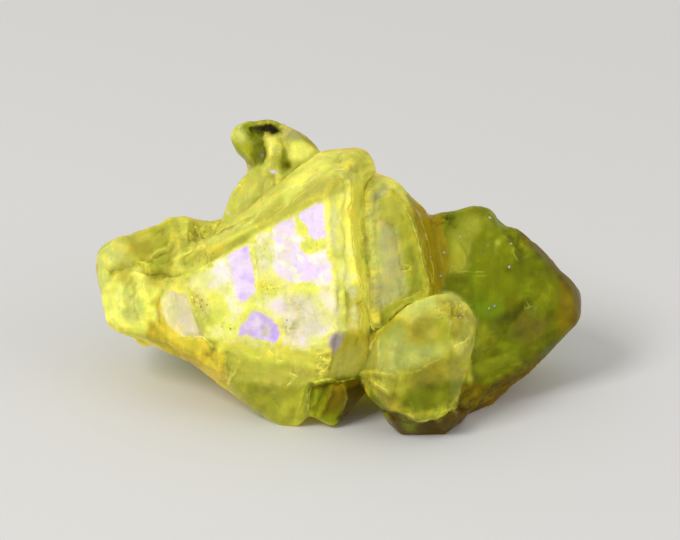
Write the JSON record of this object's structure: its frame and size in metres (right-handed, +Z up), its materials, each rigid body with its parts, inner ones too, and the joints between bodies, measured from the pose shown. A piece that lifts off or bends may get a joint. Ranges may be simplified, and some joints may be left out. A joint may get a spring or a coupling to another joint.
{
  "type": "cerussite crystal cluster",
  "caption": "Intergrown cluster of blocky yellow-glowing cerussite crystals, broken off flat where it grew, for standing on a shelf as a mineral specimen.",
  "frame": {"origin": "on the surface that the cluster stands on, under the middle of its bounding box", "axes": "+Z up, +X along the cluster's longest side, -Y towards the broad front face"},
  "size_m": [0.0402, 0.0242, 0.0213],
  "materials": {
    "cerussite": "translucent, milky, adamantine on the flat faces and rough on the breaks, glowing yellow under ultraviolet light"
  },
  "bodies": {
    "root": {"crystal_cluster": "cerussite"}
  },
  "joints": []
}
